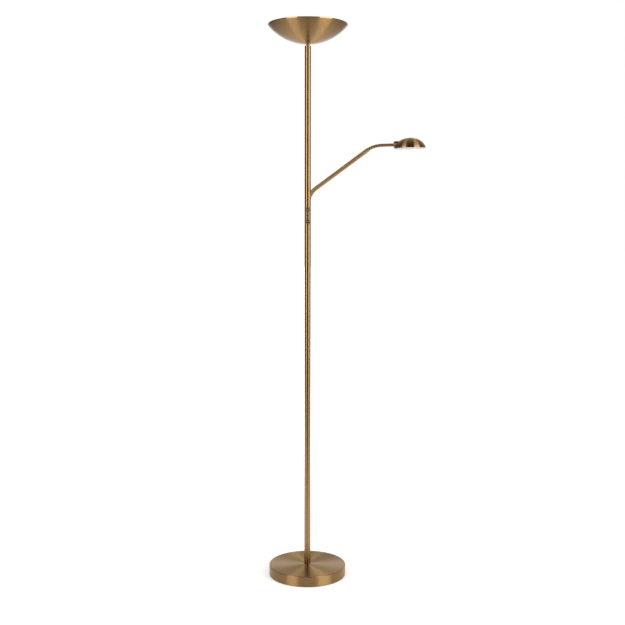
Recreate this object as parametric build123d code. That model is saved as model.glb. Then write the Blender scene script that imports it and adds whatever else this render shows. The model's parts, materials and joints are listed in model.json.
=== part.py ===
"""Uplighter floor lamp with a reading light on a gooseneck arm.

Millimetres, +Z up. The origin is the centre of the base's underside, on the floor.
+X points along the reading arm and -Y is the front, where the two dimmer knobs are.
"""

from build123d import *
import math
import os

# ---------------------------------------------------------------- driving sizes
# Clearances between pieces of the lamp
SEAT_GAP = 0.05             # radial, between a plug or stud and the hole that holds it
SHAFT_GAP = 0.05            # radial, between a turning shaft and its bush
LOOSE_GAP = 0.4             # between a turning piece and the fixed piece beside it
COVER_GAP = 0.6             # between the base's parts and the skirt round them

# Whole lamp
TOTAL_HEIGHT = 1800.0       # floor to the rim of the bowl

# Base
BASE_DIAMETER = 254.0
BASE_TOP = 35.0
BASE_SHEET = 1.2
BASE_EDGE_RADIUS = 2.2
SKIRT_LIFT = 1.5
PAD_THICKNESS = 2.0
PAD_INSET = 1.0             # in from the edge of the bottom plate
BOTTOM_PLATE_THICKNESS = 1.2
WEIGHT_THICKNESS = 14.0
WEIGHT_CHAMFER = 1.5
BOSS_DIAMETER = 14.0
BOSS_CIRCLE_RADIUS = 95.0
BOSS_ANGLES = (30.0, 150.0, 270.0)
PLATE_SCREW_DIAMETER = 4.0
PLATE_SCREW_LENGTH = 12.0   # depth of its hole in the boss
PLATE_SCREW_SPACE = 1.0     # left beyond the screw's end
PLATE_SCREW_HEAD_DIAMETER = 8.0
PLATE_SCREW_HEAD_HEIGHT = 1.4
BASE_NIPPLE_DIAMETER = 10.0
BASE_NIPPLE_BORE = 7.0
BASE_NIPPLE_TAIL = 0.5      # how far it stands out below its nut
BASE_NUT_FLATS = 17.0
BASE_NUT_HEIGHT = 4.0
BASE_NUT_FLANGE_DIAMETER = 30.0
NUT_FLANGE_THICKNESS = 1.5

# Mains lead inlet at the back of the skirt, and what is wired inside the base
INLET_HEIGHT = 12.0
INLET_BORE = 6.8
INLET_NECK_DIAMETER = 10.0
INLET_FLANGE_DIAMETER = 14.0
INLET_FLANGE_THICKNESS = 1.6
DRIVER_SIZE = (40.0, 100.0, 14.0)
DRIVER_CENTRE = (-45.0, -10.0)
DRIVER_CORNER_RADIUS = 3.0
TERMINAL_SIZE = (30.0, 18.0, 12.0)
TERMINAL_CENTRE = (20.0, 76.0)
TERMINAL_SLOT = (5.0, 4.0)  # width and depth of each wire entry
TERMINAL_ENTRIES = 3

# Pole
POLE_DIAMETER = 20.0
POLE_WALL = 1.0
INSERT_LENGTH = 20.0
FOOT_NIPPLE_REACH = 17.0    # how far the base nipple screws up into the pole
COUPLING_LENGTH = 50.0
COUPLING_BORE = 9.0
SEAM_CHAMFER = 0.35

# Control housing with the two dimmers
CONTROL_CENTRE_HEIGHT = 1194.5
CONTROL_LENGTH = 54.0
CONTROL_WALL = 1.5
LOWER_SPIGOT_LENGTH = 22.0
UPPER_SPIGOT_LENGTH = 5.5
SPIGOT_BORE = 15.2
DIMMER_SPACING = 38.0
BOARD_THICKNESS = 1.6
DIMMER_BOARD_FRONT = 2.0    # y of the dimmer board's front face
DIMMER_BOARD_WIDTH = 12.0
DIMMER_BOARD_OVERHANG = 1.5  # past the control housing at its top end
DIMMER_BOARD_DROP = 5.5     # past the control housing at its lower end
DIMMER_CAN = (10.0, 7.0, 12.0)
DIMMER_BUSH_DIAMETER = 7.0
DIMMER_BUSH_FRONT = -14.2
DIMMER_COLLAR_DIAMETER = 12.8
DIMMER_COLLAR_FRONT = -12.0
DIMMER_NUT_FLATS = 9.0
DIMMER_NUT_THICKNESS = 1.8
SHAFT_DIAMETER = 6.0
SHAFT_FRONT = -21.8
SHAFT_FLAT_DEPTH = 1.5
SHAFT_ROUND_LENGTH = 9.5
KNOB_DIAMETER = 13.0
KNOB_LENGTH = 12.0
KNOB_RECESS_DIAMETER = 11.2
KNOB_RECESS_DEPTH = 2.2
KNOB_SKIRT = 1.4
KNOB_NOSE = 1.6
KNOB_RIDGES = 20
KNOB_RIDGE_DEPTH = 0.35
KNOB_EDGE = 0.7
KNOB_MARK_WIDTH = 0.9
KNOB_MARK_DEPTH = 0.4

# Reading arm
ARM_DIAMETER = 13.0
ARM_WALL = 1.0
ARM_OFFSET = 1.6            # x of the arm tube where it stands inside the pole
ARM_FOOT_GAP = 0.6          # between the control housing's upper spigot and the arm's foot
ARM_RISE = 36.2             # from the arm's foot to where its slope would meet its upright part
ARM_SLOPE = 36.5            # degrees above the horizontal
ARM_BEND_RADIUS = 60.0
ARM_REACH = 194.0           # x of the arm tube's end
ARM_SOCKET_LENGTH = 6.5
ARM_SOCKET_LIFT = 0.2
WIRE_NOTCH_WIDTH = 3.0

# Gooseneck: ribbed links, each a socket that holds the ball of the one before
NECK_STATIONS = 10
NECK_BENT_STATIONS = 7      # the stations that share the bend of the photographed pose
NECK_PITCH = 9.05
NECK_DIAMETER = 10.0
NECK_BORE = 3.2
RIBS_PER_LINK = 3
RIB_WIDTH = 2.2
RIB_CHAMFER = 0.45
GROOVE_DEPTH = 0.45
SOCKET_LIP = 0.6            # how far a socket reaches back past its ball's centre
BALL_DIAMETER = 6.8
BALL_GAP = 0.3
BALL_NOSE = 0.3
BALL_SHOULDER = 2.3         # from a ball's centre back to the shoulder it grows from
SOCKET_FLOOR = 1.6
FERRULE_PLUG_LENGTH = 14.0
FERRULE_FLANGE = 1.5

# Reading head
HEAD_TILT = 1.5             # degrees, outer end up
HEAD_RADIUS = 50.0
HEAD_CENTRE = 51.8          # from the last ball's centre to the dome's axis
HEAD_CROWN = 21.3           # crown above the neck's axis
HEAD_DEPTH = 33.4
HEAD_LIP = 5.6              # upright band at the rim
HEAD_CROWN_RADIUS = 70.0
HEAD_CROWN_HALF_WIDTH = 26.0
HEAD_WALL = 1.0
HEAD_HEM_HEIGHT = 1.2
HEAD_HEM_STEP = 0.5         # how far the hemmed edge stands proud of the band
HEAD_NECK_DIAMETER = 24.6
HEAD_NECK_ROUND = 6.0
HEAD_NECK_SEAT = 0.05
HEAD_STUB_DIAMETER = 10.0
HEAD_STUB_END = 17.2
HEAD_STUB_BORE = 5.0
HEAD_RING_WALL = 1.0
HEAD_RING_HEIGHT = 3.0
HEAD_RING_LIP = 1.3
HEAD_RING_LIP_THICKNESS = 0.6
HEAD_DIFFUSER_THICKNESS = 1.8
HEAD_DIFFUSER_BULGE = 1.1
HEAD_SINK_RADIUS = 34.0
HEAD_SINK_PLATE = 2.4
HEAD_SINK_LIFT = 10.0       # its underside above the rim of the dome
HEAD_SINK_CORE_DIAMETER = 18.0
HEAD_SINK_CORE_HEIGHT = 15.0
HEAD_SINK_BOSS_DIAMETER = 13.0
HEAD_SINK_BOSS_START = 13.8
HEAD_SINK_BOSS_LENGTH = 5.6
HEAD_SINK_WIRE_SLOT = 6.0   # past the boss, in the plate, over the board
HEAD_FINS = 12
HEAD_FIN_THICKNESS = 1.4
HEAD_FIN_TIP_HEIGHT = 3.0
HEAD_BOARD_RADIUS = 32.0
HEAD_LED_CIRCLE = 22.0
HEAD_LEDS = 10

# Bowl uplighter
BOWL_DIAMETER = 254.0
BOWL_SHEET = 1.0
BOWL_CAP_DEPTH = 57.9       # from the foot of the lip to the lowest point
BOWL_LIP_HEIGHT = 3.0
BOWL_LIP_THICKNESS = 1.8
BOWL_LIP_BEVEL = 0.5
UPLIGHT_NIPPLE_DIAMETER = 8.0
UPLIGHT_NIPPLE_BORE = 5.0
UPLIGHT_NIPPLE_REACH = 16.0  # into the pole's top insert
UPLIGHT_NIPPLE_STAND = 13.9  # how far it stands up inside the bowl
NECK_SPACER_DIAMETER = 10.4
NECK_SPACER_LENGTH = 6.6
BOWL_NUT_FLATS = 13.0
BOWL_NUT_HEIGHT = 4.0
BOWL_NUT_FLANGE_DIAMETER = 24.0
SINK_HUB_HEIGHT = 18.0
SINK_PLATE_THICKNESS = 3.0
SINK_EDGE_GAP = 2.2         # between its rim and the bowl
SINK_HUB_DIAMETER = 24.0
SINK_FINS = 20
SINK_FIN_THICKNESS = 1.6
SINK_FIN_INSET = 4.0
SINK_FIN_TIP_HEIGHT = 2.0
UPLIGHT_BOARD_INSET = 11.0  # in from the rim of the heat sink
UPLIGHT_BOARD_HOLE_RADIUS = 6.0
UPLIGHT_LED_RINGS = ((0.38, 8), (0.77, 16))  # share of the board's radius, and number, of each ring
FIN_ROOT = 1.0              # how far a fin runs into its hub, and stops short of a plate's edge
LED_SIZE = (3.5, 3.5, 0.9)
REFLECTOR_SHEET = 0.8
REFLECTOR_RISE = 13.0
REFLECTOR_LEDGE_WIDTH = 7.5
DIFFUSER_SEAT = 4.0         # how far the diffuser lies on the ledge
DIFFUSER_THICKNESS = 2.5
DIFFUSER_RING_LIP = 3.5
DIFFUSER_RING_WALL = 1.2
SCREW_DIAMETER = 3.0
SCREW_HEAD_DIAMETER = 5.5
SCREW_HEAD_HEIGHT = 1.8
SCREW_HEAD_BEVEL = 0.6
SCREWS = 3
SCREW_CIRCLE_INSET = 5.0    # in from the edge of the part that the screws hold

# Wires that the lamp holds all the way
WIRE_END_GAP = 1.0          # between a wire's end and a dimmer's can, and its reach into the ferrule
SUPPLY_WIRE_DIAMETER = 3.0
LAMP_WIRE_DIAMETER = 2.4
SUPPLY_WIRE_HEIGHT = 6.6
SUPPLY_WIRE_BEND = 7.0
LINK_WIRE_BEND = 20.0
UPLIGHT_WIRE_OFFSET = -6.3
UPLIGHT_WIRE_SHIFT = (28.0, 64.0)  # between these heights above the arm's branch it comes back to the centre
UPLIGHT_WIRE_BEND = 60.0
HEAD_WIRE_END = 23.0        # from the last ball's centre

# ---------------------------------------------------------------- worked-out places
BASE_RADIUS = BASE_DIAMETER / 2
POLE_RADIUS = POLE_DIAMETER / 2
POLE_INNER_RADIUS = POLE_RADIUS - POLE_WALL
INSERT_RADIUS = POLE_INNER_RADIUS - SEAT_GAP
ARM_RADIUS = ARM_DIAMETER / 2
ARM_INNER_RADIUS = ARM_RADIUS - ARM_WALL
NECK_RADIUS = NECK_DIAMETER / 2
BALL_RADIUS = BALL_DIAMETER / 2
BOWL_RADIUS = BOWL_DIAMETER / 2

SHELL_UNDERSIDE = BASE_TOP - BASE_SHEET
SHELL_INNER_RADIUS = BASE_RADIUS - BASE_SHEET
PLATE_TOP = PAD_THICKNESS + BOTTOM_PLATE_THICKNESS
WEIGHT_UNDERSIDE = SHELL_UNDERSIDE - WEIGHT_THICKNESS
BASE_FIT_RADIUS = SHELL_INNER_RADIUS - COVER_GAP
BASE_NUT_FOOT = WEIGHT_UNDERSIDE - NUT_FLANGE_THICKNESS - BASE_NUT_HEIGHT

CONTROL_BOTTOM = CONTROL_CENTRE_HEIGHT - CONTROL_LENGTH / 2
CONTROL_TOP = CONTROL_CENTRE_HEIGHT + CONTROL_LENGTH / 2
POLE_SEAM_HEIGHT = (BASE_TOP + CONTROL_BOTTOM) / 2
READING_DIMMER_HEIGHT = CONTROL_CENTRE_HEIGHT - DIMMER_SPACING / 2
UPLIGHT_DIMMER_HEIGHT = CONTROL_CENTRE_HEIGHT + DIMMER_SPACING / 2
DIMMER_BOARD_BACK = DIMMER_BOARD_FRONT + BOARD_THICKNESS
DIMMER_CAN_FRONT = DIMMER_BOARD_FRONT - DIMMER_CAN[1]
DIMMER_WIRE_FOOT = UPLIGHT_DIMMER_HEIGHT + DIMMER_CAN[2] / 2 + WIRE_END_GAP

ARM_DIRECTION = math.radians(ARM_SLOPE)
ARM_FOOT_HEIGHT = CONTROL_TOP + UPPER_SPIGOT_LENGTH + ARM_FOOT_GAP
ARM_BRANCH_HEIGHT = ARM_FOOT_HEIGHT + ARM_RISE
ARM_FOOT = Vector(ARM_OFFSET, 0, ARM_FOOT_HEIGHT)
ARM_CORNER = Vector(ARM_OFFSET, 0, ARM_BRANCH_HEIGHT)
ARM_END = ARM_CORNER + Vector(1, 0, math.tan(ARM_DIRECTION)) * (ARM_REACH - ARM_OFFSET)

BOWL_LIP_FOOT = TOTAL_HEIGHT - BOWL_LIP_HEIGHT
BOWL_BOTTOM = BOWL_LIP_FOOT - BOWL_CAP_DEPTH
POLE_TOP = BOWL_BOTTOM - NECK_SPACER_LENGTH
UPLIGHT_NIPPLE_TOP = BOWL_BOTTOM + UPLIGHT_NIPPLE_STAND
BOWL_SPHERE_RADIUS = (BOWL_RADIUS**2 + BOWL_CAP_DEPTH**2) / (2 * BOWL_CAP_DEPTH)
BOWL_SPHERE_CENTRE = BOWL_BOTTOM + BOWL_SPHERE_RADIUS
BOWL_INNER_SPHERE = BOWL_SPHERE_RADIUS - BOWL_SHEET


def bowl_floor(radius):
    """Height of the bowl's inner surface at a distance from its axis."""
    return BOWL_SPHERE_CENTRE - math.sqrt(BOWL_INNER_SPHERE**2 - radius**2)


def bowl_inside(height):
    """Inner radius of the bowl at a height."""
    return math.sqrt(BOWL_INNER_SPHERE**2 - (BOWL_SPHERE_CENTRE - height) ** 2)


BOWL_NUT_FOOT = bowl_floor(BOWL_NUT_FLANGE_DIAMETER / 2)
SINK_HUB_FOOT = BOWL_NUT_FOOT + NUT_FLANGE_THICKNESS + BOWL_NUT_HEIGHT
SINK_PLATE_HEIGHT = SINK_HUB_FOOT + SINK_HUB_HEIGHT
SINK_PLATE_TOP = SINK_PLATE_HEIGHT + SINK_PLATE_THICKNESS
SINK_RADIUS = bowl_inside(SINK_PLATE_HEIGHT) - SINK_EDGE_GAP
SINK_FIN_REACH = SINK_RADIUS - SINK_FIN_INSET
UPLIGHT_BOARD_RADIUS = SINK_RADIUS - UPLIGHT_BOARD_INSET
REFLECTOR_TOP = SINK_PLATE_TOP + REFLECTOR_RISE
REFLECTOR_EDGE_RADIUS = bowl_inside(REFLECTOR_TOP - REFLECTOR_SHEET) - SEAT_GAP
REFLECTOR_LEDGE_RADIUS = REFLECTOR_EDGE_RADIUS - REFLECTOR_LEDGE_WIDTH
DIFFUSER_RADIUS = REFLECTOR_LEDGE_RADIUS + DIFFUSER_SEAT


# ---------------------------------------------------------------- shapes used often
def disc(radius, low, high, hole=0.0):
    """Round plate or tube about the Z axis, between two heights."""
    face = Circle(radius)
    if hole:
        face -= Circle(hole)
    return Pos(0, 0, low) * extrude(face, high - low)


def turned(*edges):
    """Solid turned about the Z axis from edges drawn as (radius, height)."""
    return revolve(Plane.XZ * make_face(Curve() + list(edges)), Axis.Z)


def block(size, centre, foot):
    """Box of a size, standing at a height, with its centre at x, y."""
    return Pos(centre[0], centre[1], foot) * Box(*size, align=(Align.CENTER, Align.CENTER, Align.MIN))


def hexagon(flats):
    """Hexagon with a given distance across its flats."""
    return RegularPolygon(flats / 2, 6, major_radius=False)


def flanged_nut(flats, height, flange_diameter, hole_radius):
    """Lamp nut with its flange up, standing on Z = 0."""
    nut = extrude(hexagon(flats), height)
    flange = disc(flange_diameter / 2, height, height + NUT_FLANGE_THICKNESS)
    return nut + flange - disc(hole_radius, 0, height + NUT_FLANGE_THICKNESS)


def wire(points, diameter, bends):
    """Round wire along straight runs joined by arcs."""
    start = Vector(*points[0])
    path = FilletPolyline(*points, radius=bends) if len(points) > 2 else Line(*points)
    section = Plane(origin=start, z_dir=Vector(*points[1]) - start) * Circle(diameter / 2)
    return sweep(section, path=path)


def pan_screw(diameter, length, head_diameter, head_height):
    """Screw with its head above Z = 0 and its shank below."""
    head = disc(head_diameter / 2, 0, head_height)
    head = chamfer(head.edges().group_by(Axis.Z)[-1], SCREW_HEAD_BEVEL)
    return head + disc(diameter / 2, -length, 0)


def around(count, radius, height=0.0, start_angle=0.0):
    """Places spread evenly on a circle about the Z axis, each facing outward."""
    step = 360 / count
    return [Rot(0, 0, start_angle + i * step) * Pos(radius, 0, height) for i in range(count)]


def boss_places(height):
    """Places of the bottom plate's screws."""
    return [Rot(0, 0, angle) * Pos(BOSS_CIRCLE_RADIUS, 0, height) for angle in BOSS_ANGLES]


def group(solids):
    """Separate solids kept together in one node."""
    return Compound(children=[s for part in solids for s in part.solids()])


# ---------------------------------------------------------------- base
def base_shell():
    """Pressed cap with a rolled top edge, a hole for the nipple and one for the inlet."""
    outer = disc(BASE_RADIUS, SKIRT_LIFT, BASE_TOP)
    outer = fillet(outer.edges().group_by(Axis.Z)[-1], BASE_EDGE_RADIUS)
    inner = disc(SHELL_INNER_RADIUS, SKIRT_LIFT, SHELL_UNDERSIDE)
    inner = fillet(inner.edges().group_by(Axis.Z)[-1], BASE_EDGE_RADIUS - BASE_SHEET)
    hole = disc(BASE_NIPPLE_DIAMETER / 2 + SEAT_GAP, SHELL_UNDERSIDE, BASE_TOP)
    inlet = inlet_place(0) * disc(INLET_NECK_DIAMETER / 2 + SEAT_GAP, 0, BASE_DIAMETER)
    return outer - inner - hole - inlet


def inlet_place(distance):
    """Frame on the inlet's axis, facing out of the back of the skirt."""
    return Plane(origin=(0, distance, INLET_HEIGHT), z_dir=(0, 1, 0)).location


def base_weight():
    """Cast disc under the cap, with bosses for the bottom plate's screws."""
    weight = disc(BASE_FIT_RADIUS, WEIGHT_UNDERSIDE, SHELL_UNDERSIDE)
    weight = chamfer(weight.edges().group_by(Axis.Z)[0], WEIGHT_CHAMFER)
    weight = chamfer(weight.edges().group_by(Axis.Z)[-1], BASE_EDGE_RADIUS)
    for place in boss_places(PLATE_TOP):
        weight += place * disc(BOSS_DIAMETER / 2, 0, WEIGHT_UNDERSIDE - PLATE_TOP)
    for place in boss_places(PLATE_TOP):
        weight -= place * disc(PLATE_SCREW_DIAMETER / 2 + SEAT_GAP, 0, PLATE_SCREW_LENGTH)
    return weight - disc(BASE_NIPPLE_DIAMETER / 2 + SEAT_GAP, WEIGHT_UNDERSIDE, SHELL_UNDERSIDE)


def bottom_plate():
    """Sheet that closes the base from below."""
    plate = disc(BASE_FIT_RADIUS, PAD_THICKNESS, PLATE_TOP)
    for place in boss_places(PAD_THICKNESS):
        plate -= place * disc(PLATE_SCREW_DIAMETER / 2 + SEAT_GAP, 0, BOTTOM_PLATE_THICKNESS)
    return plate


def plate_screws():
    """Screws that hold the bottom plate to the weight's bosses, heads down."""
    length = BOTTOM_PLATE_THICKNESS + PLATE_SCREW_LENGTH - PLATE_SCREW_SPACE
    screw = pan_screw(PLATE_SCREW_DIAMETER, length, PLATE_SCREW_HEAD_DIAMETER, PLATE_SCREW_HEAD_HEIGHT)
    return group([place * Rot(180, 0, 0) * screw for place in boss_places(PAD_THICKNESS)])


def floor_pad():
    """Soft pad that the lamp stands on, with holes over the screw heads."""
    pad = disc(BASE_FIT_RADIUS - PAD_INSET, 0, PAD_THICKNESS)
    for place in boss_places(0):
        pad -= place * disc(PLATE_SCREW_HEAD_DIAMETER / 2 + COVER_GAP, 0, PAD_THICKNESS)
    return pad


def base_nipple():
    """Hollow threaded stud that pulls the pole, cap and weight together."""
    return disc(
        BASE_NIPPLE_DIAMETER / 2,
        BASE_NUT_FOOT - BASE_NIPPLE_TAIL,
        BASE_TOP + FOOT_NIPPLE_REACH,
        BASE_NIPPLE_BORE / 2,
    )


def base_nut():
    """Flanged nut under the weight."""
    nut = flanged_nut(
        BASE_NUT_FLATS, BASE_NUT_HEIGHT, BASE_NUT_FLANGE_DIAMETER, BASE_NIPPLE_DIAMETER / 2 + SEAT_GAP
    )
    return Pos(0, 0, BASE_NUT_FOOT) * nut


def inlet_bush():
    """Rubber bush in the skirt, with a groove that grips the sheet."""
    neck = INLET_NECK_DIAMETER / 2
    flange = INLET_FLANGE_DIAMETER / 2
    bush = disc(neck, 0, BASE_SHEET)
    bush += disc(flange, BASE_SHEET, BASE_SHEET + INLET_FLANGE_THICKNESS)
    bush += disc(flange, -INLET_FLANGE_THICKNESS, 0)
    bush -= disc(INLET_BORE / 2, -INLET_FLANGE_THICKNESS, BASE_SHEET + INLET_FLANGE_THICKNESS)
    round_skirt = disc(BASE_RADIUS, SKIRT_LIFT, SHELL_UNDERSIDE, SHELL_INNER_RADIUS)
    body = inlet_place(SHELL_INNER_RADIUS) * bush
    grip = inlet_place(0) * disc(neck, 0, BASE_DIAMETER)
    return body - (round_skirt - grip)


def led_driver():
    """Sealed driver that feeds both dimmers, standing on the bottom plate."""
    box = block(DRIVER_SIZE, DRIVER_CENTRE, PLATE_TOP)
    return fillet(box.edges().filter_by(Axis.Z), DRIVER_CORNER_RADIUS)


def terminal_block():
    """Terminal block for the mains lead, with its wire entries towards the inlet."""
    body = block(TERMINAL_SIZE, TERMINAL_CENTRE, PLATE_TOP)
    width, depth = TERMINAL_SLOT
    pitch = TERMINAL_SIZE[0] / TERMINAL_ENTRIES
    entry_y = TERMINAL_CENTRE[1] + TERMINAL_SIZE[1] / 2
    for i in range(TERMINAL_ENTRIES):
        entry_x = TERMINAL_CENTRE[0] + (i - (TERMINAL_ENTRIES - 1) / 2) * pitch
        body -= block((width, 2 * depth, width), (entry_x, entry_y), PLATE_TOP + width / 2)
    return body


def mains_link_wire():
    """Wire from the terminal block to the driver."""
    height = PLATE_TOP + TERMINAL_SIZE[2] / 2
    start = (TERMINAL_CENTRE[0] - TERMINAL_SIZE[0] / 2, TERMINAL_CENTRE[1], height)
    corner = (DRIVER_CENTRE[0], TERMINAL_CENTRE[1], height)
    end = (DRIVER_CENTRE[0], DRIVER_CENTRE[1] + DRIVER_SIZE[1] / 2, height)
    return wire((start, corner, end), SUPPLY_WIRE_DIAMETER, LINK_WIRE_BEND)


# ---------------------------------------------------------------- pole
def pole_tube(low, high):
    """One length of pole, with its ends broken so that a seam shows as a fine line."""
    tube = disc(POLE_RADIUS, low, high, POLE_INNER_RADIUS)
    ends = tube.edges().filter_by(GeomType.CIRCLE).filter_by(lambda e: abs(e.radius - POLE_RADIUS) < 1e-6)
    return chamfer(ends, SEAM_CHAMFER)


def pole_upper():
    """Upper length of the pole, cut where the arm comes out of its side."""
    return pole_tube(CONTROL_TOP, POLE_TOP) - arm_solid(ARM_RADIUS + SEAT_GAP)


def pole_foot_insert():
    """Threaded plug in the foot of the pole."""
    return disc(INSERT_RADIUS, BASE_TOP, BASE_TOP + INSERT_LENGTH, BASE_NIPPLE_DIAMETER / 2 + SEAT_GAP)


def pole_coupling():
    """Sleeve that joins the two lower lengths of the pole."""
    half = COUPLING_LENGTH / 2
    return disc(INSERT_RADIUS, POLE_SEAM_HEIGHT - half, POLE_SEAM_HEIGHT + half, COUPLING_BORE / 2)


def pole_top_insert():
    """Threaded plug in the top of the pole."""
    return disc(INSERT_RADIUS, POLE_TOP - INSERT_LENGTH, POLE_TOP, UPLIGHT_NIPPLE_DIAMETER / 2 + SEAT_GAP)


# ---------------------------------------------------------------- dimmers
def facing_front(height, front):
    """Frame whose Z axis points out of the front of the pole, towards -Y."""
    return Plane(origin=(0, front, height), x_dir=(1, 0, 0), z_dir=(0, -1, 0)).location


def control_housing():
    """Turned housing between two lengths of pole, with a spigot at each end."""
    body = disc(POLE_RADIUS, CONTROL_BOTTOM, CONTROL_TOP)
    body = chamfer(body.edges().filter_by(GeomType.CIRCLE), SEAM_CHAMFER)
    body += disc(INSERT_RADIUS, CONTROL_BOTTOM - LOWER_SPIGOT_LENGTH, CONTROL_TOP + UPPER_SPIGOT_LENGTH)
    body -= disc(SPIGOT_BORE / 2, CONTROL_BOTTOM - LOWER_SPIGOT_LENGTH, CONTROL_TOP + UPPER_SPIGOT_LENGTH)
    body -= disc(POLE_RADIUS - CONTROL_WALL, CONTROL_BOTTOM + CONTROL_WALL, CONTROL_TOP - CONTROL_WALL)
    for height in (READING_DIMMER_HEIGHT, UPLIGHT_DIMMER_HEIGHT):
        body -= facing_front(height, 0) * disc(DIMMER_BUSH_DIAMETER / 2 + SEAT_GAP, 0, POLE_DIAMETER)
    return body


def dimmer_board():
    """Board that carries both dimmers inside the housing."""
    low = CONTROL_BOTTOM - DIMMER_BOARD_DROP
    high = CONTROL_TOP + DIMMER_BOARD_OVERHANG
    middle = (DIMMER_BOARD_FRONT + DIMMER_BOARD_BACK) / 2
    return block((DIMMER_BOARD_WIDTH, BOARD_THICKNESS, high - low), (0, middle), low)


def dimmer(height):
    """Potentiometer: a can on the board with a hollow threaded bush in front."""
    middle = DIMMER_BOARD_FRONT - DIMMER_CAN[1] / 2
    can = block(DIMMER_CAN, (0, middle), height - DIMMER_CAN[2] / 2)
    reach = DIMMER_CAN_FRONT - DIMMER_BUSH_FRONT
    bush = disc(DIMMER_BUSH_DIAMETER / 2, 0, reach, SHAFT_DIAMETER / 2 + SHAFT_GAP)
    return can + facing_front(height, DIMMER_CAN_FRONT) * bush


def dimmer_collar(height):
    """Saddle washer that turns the round pole into a flat seat for the nut."""
    collar = disc(DIMMER_COLLAR_DIAMETER / 2, 0, -DIMMER_COLLAR_FRONT)
    collar = chamfer(collar.edges().group_by(Axis.Z)[-1], KNOB_EDGE)
    collar -= disc(DIMMER_BUSH_DIAMETER / 2 + SEAT_GAP, 0, -DIMMER_COLLAR_FRONT)
    pole = disc(POLE_RADIUS, height - POLE_DIAMETER, height + POLE_DIAMETER)
    return facing_front(height, 0) * collar - pole


def dimmer_nut(height):
    """Nut that clamps the dimmer's bush to the housing."""
    nut = extrude(hexagon(DIMMER_NUT_FLATS) - Circle(DIMMER_BUSH_DIAMETER / 2 + SEAT_GAP), DIMMER_NUT_THICKNESS)
    return facing_front(height, DIMMER_COLLAR_FRONT) * nut


def d_section(radius):
    """Round section with one flat, as on a dimmer's shaft."""
    flat = Pos(0, radius) * Rectangle(2 * radius, 2 * SHAFT_FLAT_DEPTH)
    return Circle(radius) - flat


def knob_shaft(height):
    """Dimmer's shaft: round in its bush, with a flat where the knob grips it."""
    start = DIMMER_CAN_FRONT - SHAFT_GAP
    radius = SHAFT_DIAMETER / 2
    whole = start - SHAFT_FRONT
    shaft = disc(radius, 0, SHAFT_ROUND_LENGTH)
    shaft += Pos(0, 0, SHAFT_ROUND_LENGTH) * extrude(d_section(radius), whole - SHAFT_ROUND_LENGTH)
    return facing_front(height, start) * shaft


def ridged_disc(low, high):
    """Disc with small straight ridges round its edge."""
    crest = KNOB_DIAMETER / 2
    valley = crest - KNOB_RIDGE_DEPTH
    step = math.pi / KNOB_RIDGES
    corners = []
    for i in range(2 * KNOB_RIDGES):
        radius = crest if i % 2 else valley
        corners.append((radius * math.cos(i * step), radius * math.sin(i * step)))
    return Pos(0, 0, low) * extrude(make_face(Polyline(*corners, close=True)), high - low)


def knob(height):
    """Ridged knob with a plain skirt and nose, a recess over the nut and an index mark."""
    radius = KNOB_DIAMETER / 2
    inner = radius - KNOB_RIDGE_DEPTH
    nose_start = KNOB_LENGTH - KNOB_NOSE
    body = disc(radius, 0, KNOB_SKIRT) + ridged_disc(KNOB_SKIRT, nose_start)
    nose = disc(inner, nose_start, KNOB_LENGTH)
    body += chamfer(nose.edges().group_by(Axis.Z)[-1], KNOB_EDGE)
    body -= disc(KNOB_RECESS_DIAMETER / 2, 0, KNOB_RECESS_DEPTH)
    front = DIMMER_COLLAR_FRONT - LOOSE_GAP
    hole_depth = front - SHAFT_FRONT + LOOSE_GAP
    body -= extrude(d_section(SHAFT_DIAMETER / 2 + SEAT_GAP), hole_depth)
    mark = Box(KNOB_MARK_WIDTH, radius, 2 * KNOB_MARK_DEPTH)
    body -= Pos(0, radius, KNOB_LENGTH) * mark
    return facing_front(height, front) * body


# ---------------------------------------------------------------- arm
def arm_path():
    """Centre line of the arm: up inside the pole, round one bend, then straight."""
    return FilletPolyline(ARM_FOOT, ARM_CORNER, ARM_END, radius=ARM_BEND_RADIUS)


def arm_solid(radius):
    """Solid rod of a radius along the arm's centre line."""
    return sweep(Pos(*ARM_FOOT) * Circle(radius), path=arm_path())


def arm_tube():
    """Bent tube that carries the gooseneck."""
    section = Circle(ARM_RADIUS) - Circle(ARM_INNER_RADIUS)
    return sweep(Pos(*ARM_FOOT) * section, path=arm_path())


def arm_socket():
    """Insert inside the pole that holds the foot of the arm and lets a wire pass."""
    low = ARM_FOOT_HEIGHT - ARM_SOCKET_LIFT
    high = low + ARM_SOCKET_LENGTH
    socket = disc(INSERT_RADIUS, low, high)
    socket -= Pos(ARM_OFFSET, 0, 0) * disc(ARM_RADIUS + SEAT_GAP, low, high)
    notch_width = INSERT_RADIUS
    notch = block((notch_width, WIRE_NOTCH_WIDTH, high - low), (-INSERT_RADIUS, 0), low)
    return socket - notch


# ---------------------------------------------------------------- gooseneck
def station_kinks():
    """Angle in degrees by which the neck turns down at each station, less and less."""
    shares = [max(0.0, 1 - i / NECK_BENT_STATIONS) for i in range(NECK_STATIONS)]
    whole = ARM_SLOPE - HEAD_TILT
    return [whole * share / sum(shares) for share in shares]


def station_frames():
    """Ball centres along the neck, each with the direction of the link after it."""
    heading = ARM_SLOPE
    ahead = FERRULE_FLANGE + BALL_SHOULDER
    point = ARM_END + Vector(math.cos(ARM_DIRECTION), 0, math.sin(ARM_DIRECTION)) * ahead
    frames = []
    for kink in station_kinks():
        heading -= kink
        angle = math.radians(heading)
        direction = Vector(math.cos(angle), 0, math.sin(angle))
        frames.append((point, direction))
        point = point + direction * NECK_PITCH
    return frames


def along(point, direction):
    """Frame with its Z axis along a direction in the XZ plane and its X axis along +Y."""
    return Plane(origin=point, x_dir=(0, 1, 0), z_dir=direction).location


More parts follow.
